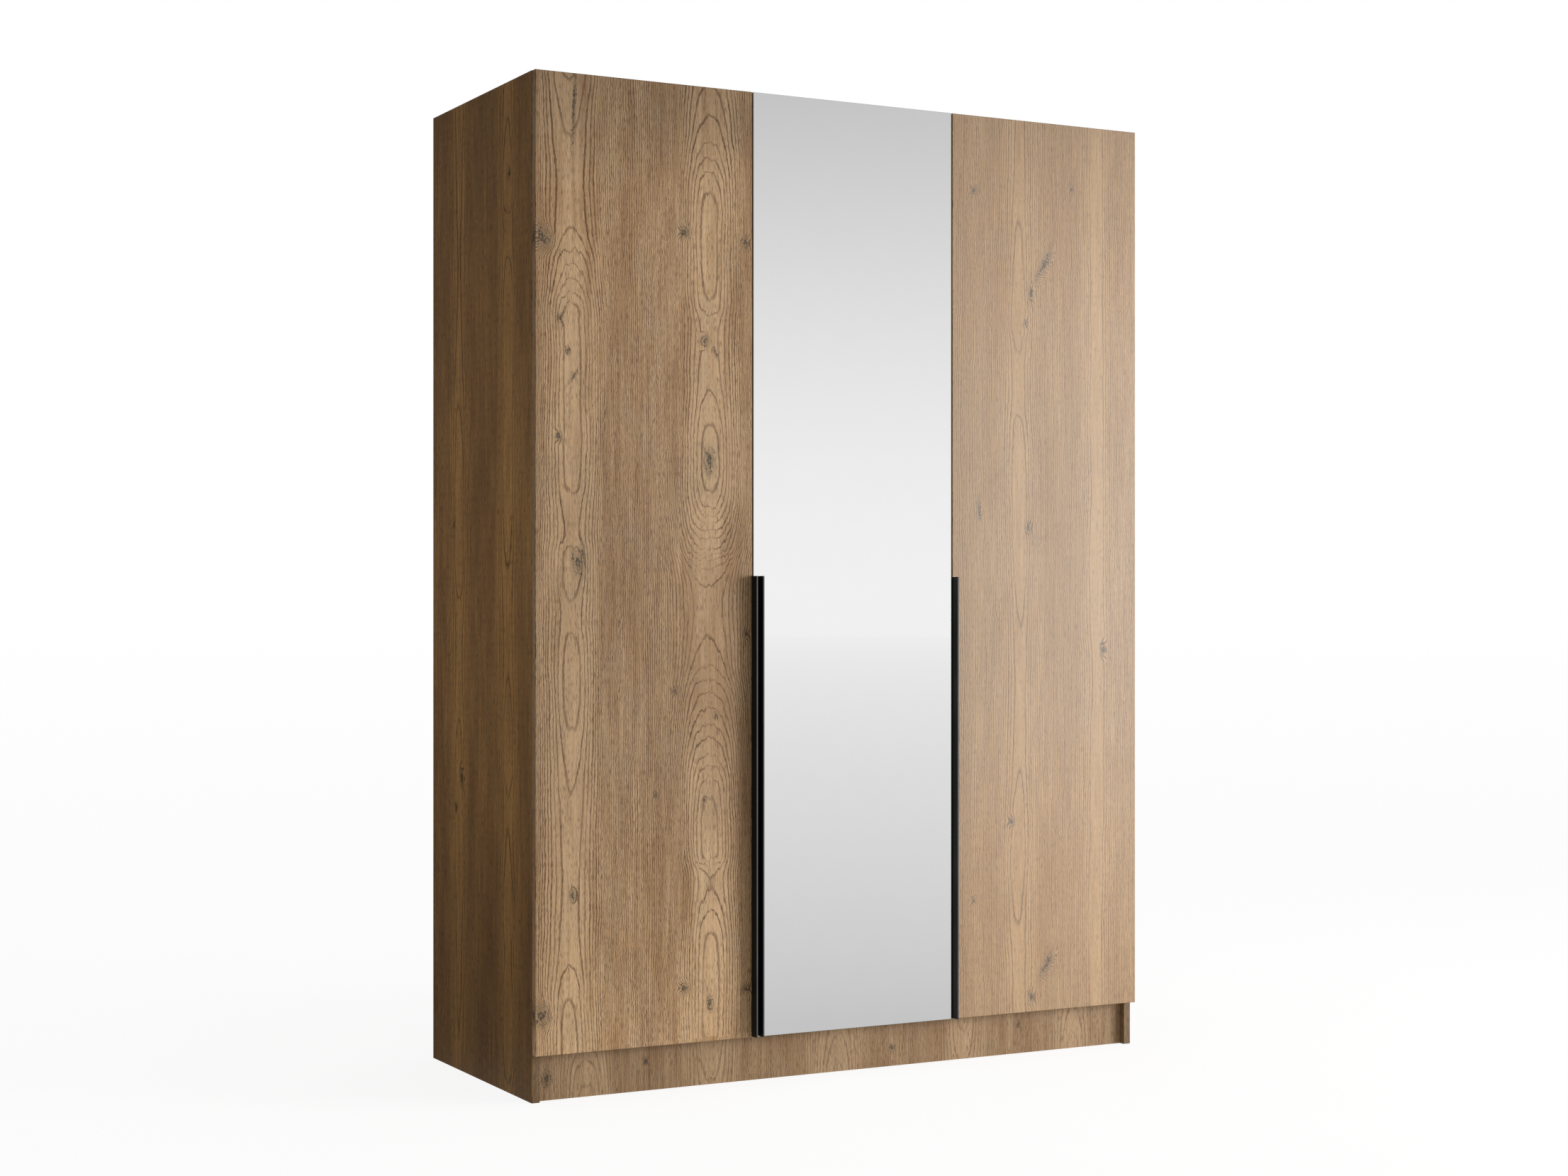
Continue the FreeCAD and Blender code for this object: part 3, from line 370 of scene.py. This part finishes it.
LEFT_DOOR = {
    **WOOD,
    "seed": 3.0,
    # partly painted light and shade: darker towards the top and lighter towards the bottom, as the light
    # falls
    "tone_and_painted_light": [
        (0.09, 1.20), (0.14, 1.19), (0.325, 1.09), (0.59, 0.94), (0.86, 0.92), (1.13, 0.95), (1.39, 1.02),
        (1.66, 1.03), (1.76, 0.92), (1.86, 0.74), (1.91, 0.70),
    ],
    # each figure's middle line, and how deep the pith lies at each height
    "columns": [
        (-0.603, [
            (0.09, 0.003), (0.15, 0.006), (0.20, 0.013), (0.30, 0.023), (0.40, 0.024), (0.52, 0.022),
            (0.637, 0.017), (0.713, 0.008), (0.78, 0.001), (0.85, 0.008), (0.90, 0.014), (0.94, 0.010),
            (1.00, 0.001), (1.05, 0.018), (1.10, 0.016), (1.17, 0.005), (1.30, 0.001), (1.44, 0.003),
            (1.50, 0.020), (1.56, 0.034), (1.63, 0.047), (1.70, 0.049), (1.80, 0.046), (1.90, 0.040),
        ]),
        (-0.318, [
            (0.09, 0.012), (0.162, 0.001), (0.269, 0.008), (0.34, 0.020), (0.396, 0.027), (0.43, 0.016),
            (0.474, 0.001), (0.544, 0.010), (0.65, 0.036), (0.756, 0.060), (0.85, 0.076), (0.93, 0.078),
            (1.03, 0.052), (1.152, 0.008), (1.199, 0.001), (1.258, 0.010), (1.358, 0.022), (1.44, 0.024),
            (1.50, 0.012), (1.633, 0.001), (1.70, 0.010), (1.78, 0.028), (1.83, 0.037), (1.91, 0.046),
        ]),
    ],
    # across, up, radius, length over width, tilt, push on the rings
    "knots": [
        (-0.598, 1.850, 0.0018, 26.0, -3.0, 0.0),
        (-0.664, 1.601, 0.0078, 1.3, 20.0, 0.026),
        (-0.626, 1.453, 0.0036, 1.3, 0.0, -0.004),
        (-0.611, 1.394, 0.0028, 1.5, 10.0, -0.003),
        (-0.599, 1.346, 0.0018, 4.5, -35.0, 0.0),
        (-0.629, 1.234, 0.0034, 1.4, 0.0, 0.007),
        (-0.590, 0.999, 0.0058, 2.2, 12.0, -0.004),
        (-0.579, 1.015, 0.0016, 9.0, 8.0, 0.0),
        (-0.601, 0.383, 0.0030, 2.4, 0.0, 0.004),
        (-0.664, 0.164, 0.0078, 1.3, 20.0, 0.026),
        (-0.372, 1.629, 0.0052, 1.0, 0.0, 0.013),
        (-0.241, 1.618, 0.0046, 1.1, 0.0, 0.010),
        (-0.327, 1.425, 0.0044, 1.4, -10.0, 0.009),
        (-0.306, 1.405, 0.0016, 4.0, 20.0, 0.0),
        (-0.321, 1.207, 0.0020, 6.0, 38.0, 0.0),
        (-0.315, 1.190, 0.0018, 8.0, -8.0, 0.0),
        (-0.318, 1.197, 0.0062, 2.0, 0.0, -0.003),
        (-0.239, 0.866, 0.0030, 1.3, 0.0, 0.006),
        (-0.391, 0.758, 0.0030, 1.2, 0.0, 0.006),
        (-0.304, 0.710, 0.0026, 1.4, 0.0, -0.004),
        (-0.430, 0.562, 0.0026, 1.2, 0.0, 0.005),
        (-0.329, 0.550, 0.0026, 1.4, 0.0, -0.003),
        (-0.372, 0.194, 0.0050, 1.0, 0.0, 0.013),
        (-0.240, 0.183, 0.0044, 1.1, 0.0, 0.010),
        (-0.317, 0.162, 0.0034, 2.4, 0.0, -0.003),
    ],
}

RIGHT_DOOR = {
    **WOOD,
    "seed": 40.0,
    # partly painted light and shade: lighter towards the bottom and darker at the top, as the light falls
    "tone_and_painted_light": [
        (0.09, 1.22), (0.155, 1.22), (0.417, 1.18), (0.708, 1.08), (1.144, 1.04), (1.58, 1.12),
        (1.83, 1.02), (1.91, 0.92),
    ],
    "ior": 1.70,
    "spacing": 0.0040,
    "ragged": 0.020,
    "narrow": 0.85,
    "pale": 0.05,
    "dark": (0.390, 0.226, 0.098),
    "light": (0.478, 0.298, 0.142),
    "grey": (0.425, 0.268, 0.128),
    # from, to, how dark
    "bands": [(0.200, 0.275, 0.45), (0.486, 0.534, 0.35)],
    "contrast": 0.78,
    "speck": 0.42,
    "halo": 0.40,
    "columns": [
        (0.385, [
            (0.09, 0.020), (0.185, 0.022), (0.35, 0.012), (0.43, 0.002), (0.50, 0.010), (0.60, 0.020),
            (0.75, 0.022), (0.90, 0.018), (1.02, 0.006), (1.08, 0.001), (1.163, 0.003), (1.272, 0.014),
            (1.36, 0.022), (1.46, 0.016), (1.50, 0.004), (1.58, 0.010), (1.65, 0.016), (1.78, 0.022),
            (1.90, 0.024),
        ]),
        (0.578, [
            (0.09, 0.008), (0.186, 0.006), (0.28, 0.001), (0.38, 0.006), (0.45, 0.007), (0.54, 0.001),
            (0.64, 0.006), (0.72, 0.010), (0.80, 0.012), (0.86, 0.004), (0.95, 0.001), (1.10, 0.006),
            (1.24, 0.007), (1.31, 0.001), (1.39, 0.007), (1.52, 0.010), (1.62, 0.006), (1.73, 0.001),
            (1.84, 0.007), (1.91, 0.010),
        ]),
    ],
    "knots": [
        (0.277, 1.758, 0.0044, 1.0, 0.0, 0.010),
        (0.449, 1.621, 0.0040, 4.0, -28.0, 0.026),
        (0.441, 1.610, 0.0028, 5.0, -35.0, 0.0),
        (0.415, 1.556, 0.0036, 2.0, 0.0, 0.008),
        (0.402, 1.496, 0.0028, 1.4, 0.0, 0.005),
        (0.515, 1.777, 0.0024, 1.4, 0.0, 0.004),
        (0.408, 1.078, 0.0040, 1.8, 0.0, 0.006),
        (0.290, 1.113, 0.0022, 5.0, 8.0, 0.0),
        (0.593, 0.828, 0.0040, 1.8, 0.0, 0.012),
        (0.368, 0.480, 0.0036, 1.4, 0.0, 0.008),
        (0.276, 0.324, 0.0032, 1.2, 0.0, 0.008),
        (0.455, 0.185, 0.0040, 3.6, -28.0, 0.024),
        (0.447, 0.176, 0.0026, 4.0, -35.0, 0.0),
        (0.415, 0.119, 0.0036, 2.0, 0.0, 0.008),
    ],
}

SIDES = {
    **WOOD,
    "seed": 80.0,
    # partly painted light and shade: lightest at middle height, where the light falls most, darker at the
    # top and bottom
    "tone_and_painted_light": [
        (0.0, 0.72), (0.17, 0.78), (0.582, 1.05), (0.995, 1.18), (1.408, 1.06), (1.82, 0.90), (1.91, 0.86),
    ],
    "dark": (0.325, 0.191, 0.089),
    "light": (0.510, 0.319, 0.147),
    "grey": (0.415, 0.275, 0.133),
    "line": (0.070, 0.038, 0.018),
    # painted shade: the left side's outer face is tinted redder and darker, the way the decor looks in the
    # shade
    "painted_shade_tint": (1.0, 0.80, 0.45),
    "spacing": 0.0040,
    "speck": 0.70,
    "columns": [
        (-0.125, [
            (0.05, 0.010), (0.144, 0.003), (0.258, 0.014), (0.35, 0.001), (0.415, 0.012), (0.55, 0.018),
            (0.657, 0.001), (0.73, 0.014), (0.90, 0.020), (1.05, 0.014), (1.18, 0.003), (1.30, 0.008),
            (1.42, 0.001), (1.55, 0.014), (1.64, 0.020), (1.72, 0.003), (1.80, 0.014), (1.90, 0.022),
        ]),
        (0.135, [
            (0.05, 0.018), (0.30, 0.012), (0.52, 0.002), (0.60, 0.010), (0.85, 0.022), (1.08, 0.004),
            (1.22, 0.012), (1.50, 0.024), (1.90, 0.020),
        ]),
    ],
    "knots": [
        (0.120, 0.578, 0.0050, 2.4, -20.0, 0.014),
        (0.149, 0.519, 0.0034, 1.6, 0.0, 0.006),
        (0.165, 1.084, 0.0034, 1.4, 0.0, 0.010),
        (-0.130, 1.735, 0.0040, 1.6, 0.0, -0.004),
        (0.030, 0.930, 0.0020, 1.4, 0.0, 0.004),
    ],
}

PLINTH = {
    **WOOD,
    "seed": 120.0,
    # painted shade: the plinth is darkened all over for the shade under the doors
    "tone_and_painted_light": [(0.0, 0.82), (2.0, 0.82)],
    "contrast": 0.62,
    "columns": [
        (-0.560, [(0.0, 0.004), (0.09, 0.024)]),
        (-0.300, [(0.0, 0.020), (0.09, 0.006)]),
        (-0.020, [(0.0, 0.006), (0.09, 0.022)]),
        (0.270, [(0.0, 0.018), (0.09, 0.004)]),
        (0.540, [(0.0, 0.003), (0.09, 0.020)]),
    ],
    "knots": [
        (-0.640, 0.040, 0.0050, 1.4, 0.0, 0.014),
        (-0.438, 0.055, 0.0026, 1.6, 0.0, 0.006),
        (0.104, 0.036, 0.0030, 1.3, 0.0, 0.006),
        (0.405, 0.060, 0.0024, 1.6, 0.0, 0.006),
    ],
}

UPRIGHT = {
    **WOOD,
    "seed": 160.0,
    "contrast": 0.6,
    "columns": [
        (-0.12, [(0.1, 0.010), (0.5, 0.024), (0.9, 0.002), (1.3, 0.026), (1.6, 0.003), (1.9, 0.020)]),
        (0.12, [(0.1, 0.022), (0.4, 0.002), (0.8, 0.024), (1.2, 0.004), (1.5, 0.026), (1.9, 0.006)]),
    ],
    "knots": [
        (-0.050, 0.700, 0.0036, 1.5, 0.0, 0.010),
        (0.170, 1.350, 0.0032, 1.4, 0.0, 0.008),
    ],
}

LEVEL = {
    **UPRIGHT,
    "seed": 200.0,
    "low": -1.0,
    "high": 1.0,
    "tone_and_painted_light": [(-1.0, 1.0), (1.0, 1.0)],
    "columns": [
        (-0.12, [(-0.6, 0.006), (-0.3, 0.024), (0.0, 0.002), (0.3, 0.024), (0.6, 0.004)]),
        (0.13, [(-0.6, 0.022), (-0.2, 0.003), (0.2, 0.026), (0.45, 0.002), (0.65, 0.020)]),
    ],
    "knots": [
        (-0.030, -0.350, 0.0036, 1.5, 0.0, 0.010),
        (0.180, 0.420, 0.0030, 1.4, 0.0, 0.008),
    ],
}


def front_place(face):
    """The grain's place on a board whose front face is at y = face."""

    def place(x, y, z):
        return x + (y - face) * EDGE_SHIFT, z

    return place


def side_place(x, y, z):
    return y - (abs(x) + SIDE_FACE) * EDGE_SHIFT, z


def upright_place(x, y, z):
    return x * EDGE_SHIFT + y, z


def level_place(x, y, z):
    """Level boards. The figure starts again at each shelf, so that all of them show it."""
    shelf = z.graph.math("FLOOR", z / SHELF_PITCH) * SHELF_PITCH
    return y + z * EDGE_SHIFT - shelf * EDGE_SHIFT, x


# ---------------------------------------------------------------- other materials


def mirror():
    """Silvered glass with ground, greenish edges."""
    g = material("mirror", IOR=1.5)
    x, y, z = g.axes()
    ny = g.axes("Normal")[1]
    face = g.fade(abs(ny), 0.90, 0.97)
    haze = g.noise(x, z, 0.05, 0.07, 300.0, 3.0)
    grind = g.noise(x + y, z, 0.0006, 0.0006, 301.0)
    edge = g.mix(grind, (0.30, 0.36, 0.33), (0.48, 0.54, 0.50))
    silver = g.mix(haze, (0.862, 0.862, 0.862), (0.880, 0.880, 0.880))
    g.put(g.shader.inputs["Base Color"], g.mix(face, edge, silver))
    g.put(g.shader.inputs["Metallic"], face)
    g.put(g.shader.inputs["Roughness"], g.fade(face, 0.0, 1.0, 0.38, 0.004) + haze * 0.004)
    return g.material


def black_pull():
    """Black powder coat on aluminium, with a painted highlight: a lighter grey along the blade's front
    edge.
    """
    g = material("black_pull", IOR=1.32)
    x, y, z = g.axes()
    ny = g.axes("Normal")[1]
    grain = g.noise(x + y, z, 0.0016, 0.0016, 310.0, 3.0)
    cloud = g.noise(x + y, z, 0.02, 0.12, 311.0)
    painted_highlight_variation = g.noise(x, z, 0.004, 0.05, 312.0)
    # painted highlight: the blade's front edge is coloured a lighter grey
    painted_highlight_mask = g.fade(ny, -0.70, -0.95) * g.fade(y, PULL_TIP + 0.0010, PULL_TIP + 0.0004)
    body = g.mix(cloud, (0.0055, 0.0052, 0.0046), (0.0085, 0.0080, 0.0070))
    edge = g.mix(painted_highlight_variation, (0.075, 0.075, 0.075), (0.140, 0.140, 0.140))
    g.put(g.shader.inputs["Base Color"], g.mix(painted_highlight_mask, body, edge))
    g.put(g.shader.inputs["Roughness"], g.fade(cloud, 0.3, 0.7, 0.50, 0.62))
    g.put(g.shader.inputs["Normal"], g.bump(grain, 0.00004, 0.5))
    return g.material


def metal(name, tint, dull, brushed):
    """Plated or polished metal, brushed along Z or smooth."""
    g = material(name, Metallic=1.0)
    x, y, z = g.axes()
    stretch = 0.012 if brushed else 0.0012
    scratch = g.noise(x + y, z, 0.0004, stretch, 320.0, 2.0)
    cloud = g.noise(x + y, z, 0.012, 0.02, 321.0, 3.0)
    darker = tuple(part * 0.82 for part in tint)
    g.put(g.shader.inputs["Base Color"], g.mix(cloud, darker, tint))
    g.put(g.shader.inputs["Roughness"], g.fade(cloud, 0.2, 0.8, dull * 0.8, dull * 1.25))
    g.put(g.shader.inputs["Normal"], g.bump(scratch, 0.00002, 0.5))
    return g.material


def back_board():
    """Hardboard with a printed, faintly grained brown face and loose fibres."""
    g = material("back_board", Roughness=0.70)
    x, _, z = g.axes()
    fibre = g.noise(x, z, 0.0012, 0.0050, 330.0, 4.0)
    cloud = g.noise(x, z, 0.10, 0.30, 331.0, 3.0)
    speck = g.fade(g.noise(x, z, 0.0022, 0.0022, 332.0), 0.66, 0.74)
    body = g.mix(g.fade(cloud, 0.35, 0.65), (0.300, 0.190, 0.105), (0.430, 0.300, 0.185))
    body = g.mix(g.fade(fibre, 0.40, 0.62) * 0.60, body, (0.55, 0.41, 0.27))
    body = g.mix(speck * 0.7, body, (0.12, 0.065, 0.035))
    g.put(g.shader.inputs["Base Color"], body)
    g.put(g.shader.inputs["Normal"], g.bump(fibre, 0.00015, 0.6))
    return g.material


def beech():
    """Raw beech with short dark rays."""
    g = material("beech", Roughness=0.62)
    x, y, z = g.axes()
    cloud = g.noise(x, y + z, 0.01, 0.004, 340.0, 3.0)
    rays = g.fade(g.noise(x, y + z, 0.003, 0.0008, 341.0), 0.58, 0.70)
    body = g.mix(cloud, (0.52, 0.32, 0.17), (0.66, 0.45, 0.27))
    g.put(g.shader.inputs["Base Color"], g.mix(rays * 0.5, body, (0.33, 0.18, 0.09)))
    g.put(g.shader.inputs["Normal"], g.bump(rays, -0.0001, 0.5))
    return g.material


def plastic(name, low, high, dull):
    """Moulded or extruded plastic with a fine texture."""
    g = material(name, Roughness=dull)
    x, y, z = g.axes()
    grain = g.noise(x + y, z, 0.0009, 0.0012, 350.0, 3.0)
    cloud = g.noise(x + y, z, 0.02, 0.06, 351.0)
    g.put(g.shader.inputs["Base Color"], g.mix(cloud, low, high))
    g.put(g.shader.inputs["Normal"], g.bump(grain, 0.00006, 0.6))
    return g.material


BLACK = (0.012, 0.012, 0.012)
MADE = {
    "oak_left_door": oak("oak_left_door", front_place(DOOR_FRONT), LEFT_DOOR),
    "oak_right_door": oak("oak_right_door", front_place(DOOR_FRONT), RIGHT_DOOR),
    "oak_sides": oak("oak_sides", side_place, SIDES),
    "oak_plinth": oak("oak_plinth", front_place(PLINTH_FRONT), PLINTH),
    "oak_upright": oak("oak_upright", upright_place, UPRIGHT),
    "oak_level": oak("oak_level", level_place, LEVEL),
    "mirror": mirror(),
    "black_pull": black_pull(),
    "black_screws": plastic("black_screws", BLACK, (0.020, 0.020, 0.020), 0.35),
    "nickel": metal("nickel", (0.66, 0.63, 0.58), 0.26, False),
    "chrome": metal("chrome", (0.86, 0.86, 0.86), 0.10, False),
    "zinc": metal("zinc", (0.64, 0.66, 0.69), 0.34, True),
    "back_board": back_board(),
    "beech": beech(),
    "plastic_strip": plastic("plastic_strip", (0.165, 0.095, 0.050), (0.200, 0.120, 0.065), 0.42),
    "soft_dots": plastic("soft_dots", (0.70, 0.70, 0.68), (0.78, 0.78, 0.76), 0.22),
}

UPRIGHT_BOARDS = ("partition_panel", "mirror_door_board")
record_slots = {part["node"]: part["material_slot"] for part in frame["record"]["subparts"]}
for name, node in frame["nodes"].items():
    slot = record_slots[name]
    if slot == "oak_inside":
        slot = "oak_upright" if name in UPRIGHT_BOARDS else "oak_level"
    node.data.materials.clear()
    node.data.materials.append(MADE[slot])

# the photographed mirror doesn't show the pull beside it
frame["nodes"]["pull_right_door"].visible_glossy = False

# ---------------------------------------------------------------- studio


def floor():
    """A pale round floor that fades to the white of the backdrop."""
    mesh = bpy.data.meshes.new("floor")
    angles = [2 * math.pi * i / FLOOR_CORNERS for i in range(FLOOR_CORNERS)]
    edge = [(FLOOR_RADIUS * math.cos(a), FLOOR_RADIUS * math.sin(a), -FLOOR_DROP) for a in angles]
    mesh.from_pydata(edge, [], [list(range(FLOOR_CORNERS))])
    made = bpy.data.objects.new("floor", mesh)
    bpy.context.scene.collection.objects.link(made)
    g = material("floor", Roughness=0.8, Emission_Color=colour(WHITE))
    g.shader.inputs["Specular IOR Level"].default_value = 0.0
    x, y, _ = g.axes()
    away = g.math("LOGARITHM", g.math("SQRT", x * x + y * y), 10.0)
    far = (away - math.log10(FLOOR_NEAR)) / math.log10(FLOOR_FAR / FLOOR_NEAR)
    far = g.math("MINIMUM", g.math("MAXIMUM", far, 0.0), 1.0)
    cloud = g.noise(x, y, 0.4, 0.4, 400.0)
    near = g.mix(cloud, FLOOR_DARK, FLOOR_PALE)
    ray = g.node("LightPath", {})
    seen = Number(g, ray.outputs["Is Camera Ray"])
    soft = Number(g, ray.outputs["Is Diffuse Ray"])
    mirrored = (1.0 - seen) * (1.0 - soft)
    lit_side = g.fade(x - y * 0.5, -1.2, 0.3, 0.10, 1.0)
    to_camera = (far * SEEN_RISE + SEEN_NEAR) * seen
    to_mirror = (far * MIRRORED_RISE + MIRRORED_NEAR) * lit_side * mirrored
    shown = to_camera + to_mirror + soft * lit_side * FLOOR_BOUNCE
    g.put(g.shader.inputs["Base Color"], g.mix(g.math("MAXIMUM", far, mirrored), near, (0.0, 0.0, 0.0)))
    g.put(g.shader.inputs["Emission Strength"], shown)
    mesh.materials.append(g.material)


def world():
    """White backdrop, brightest near the horizon. Reflections find it dark on the left."""
    made = bpy.data.worlds.new("studio")
    bpy.context.scene.world = made
    made.use_nodes = True
    g = Graph(made.node_tree)
    x, y, z = g.axes("Generated")
    side = g.fade(x - y * 0.35, -0.75, 0.05)
    height = g.fade(abs(z), 0.0, 0.32, 1.0, 0.45)
    ray = g.node("LightPath", {})
    seen = Number(g, ray.outputs["Is Camera Ray"])
    left = g.mix(Number(g, ray.outputs["Is Diffuse Ray"]), WORLD_DIM, WHITE)
    light = g.mix(side, left, WHITE)
    strength = g.math("MAXIMUM", height, seen)
    backdrop = g.mix(seen, light, WHITE)
    background = made.node_tree.nodes["Background"]
    g.put(background.inputs["Color"], backdrop)
    g.put(background.inputs["Strength"], strength)


def aim(thing, place, target):
    """Puts a light at place, facing target."""
    thing.location = place
    direction = [b - a for a, b in zip(place, target)]
    turn = math.atan2(direction[1], direction[0])
    level = math.hypot(direction[0], direction[1])
    thing.rotation_euler = (math.atan2(level, -direction[2]), 0.0, turn - math.pi / 2)


def key_light():
    """A soft box at the front right."""
    data = bpy.data.lights.new("key", "AREA")
    data.shape = "RECTANGLE"
    data.size, data.size_y = KEY_SIZE
    data.energy = KEY_POWER
    data.spread = math.radians(KEY_SPREAD)
    made = bpy.data.objects.new("key", data)
    bpy.context.scene.collection.objects.link(made)
    aim(made, KEY_PLACE, KEY_TARGET)


def camera():
    data = bpy.data.cameras.new("camera")
    data.sensor_fit = "HORIZONTAL"
    data.sensor_width = CAMERA_SENSOR
    data.lens = CAMERA_LENS
    data.shift_y = CAMERA_SHIFT_Y
    made = bpy.data.objects.new("camera", data)
    made.location = CAMERA_PLACE
    made.rotation_euler = (math.radians(90.0), 0.0, math.radians(-CAMERA_YAW))
    bpy.context.scene.collection.objects.link(made)
    bpy.context.scene.camera = made


floor()
world()
key_light()
camera()
bpy.context.scene.view_settings.view_transform = "Standard"
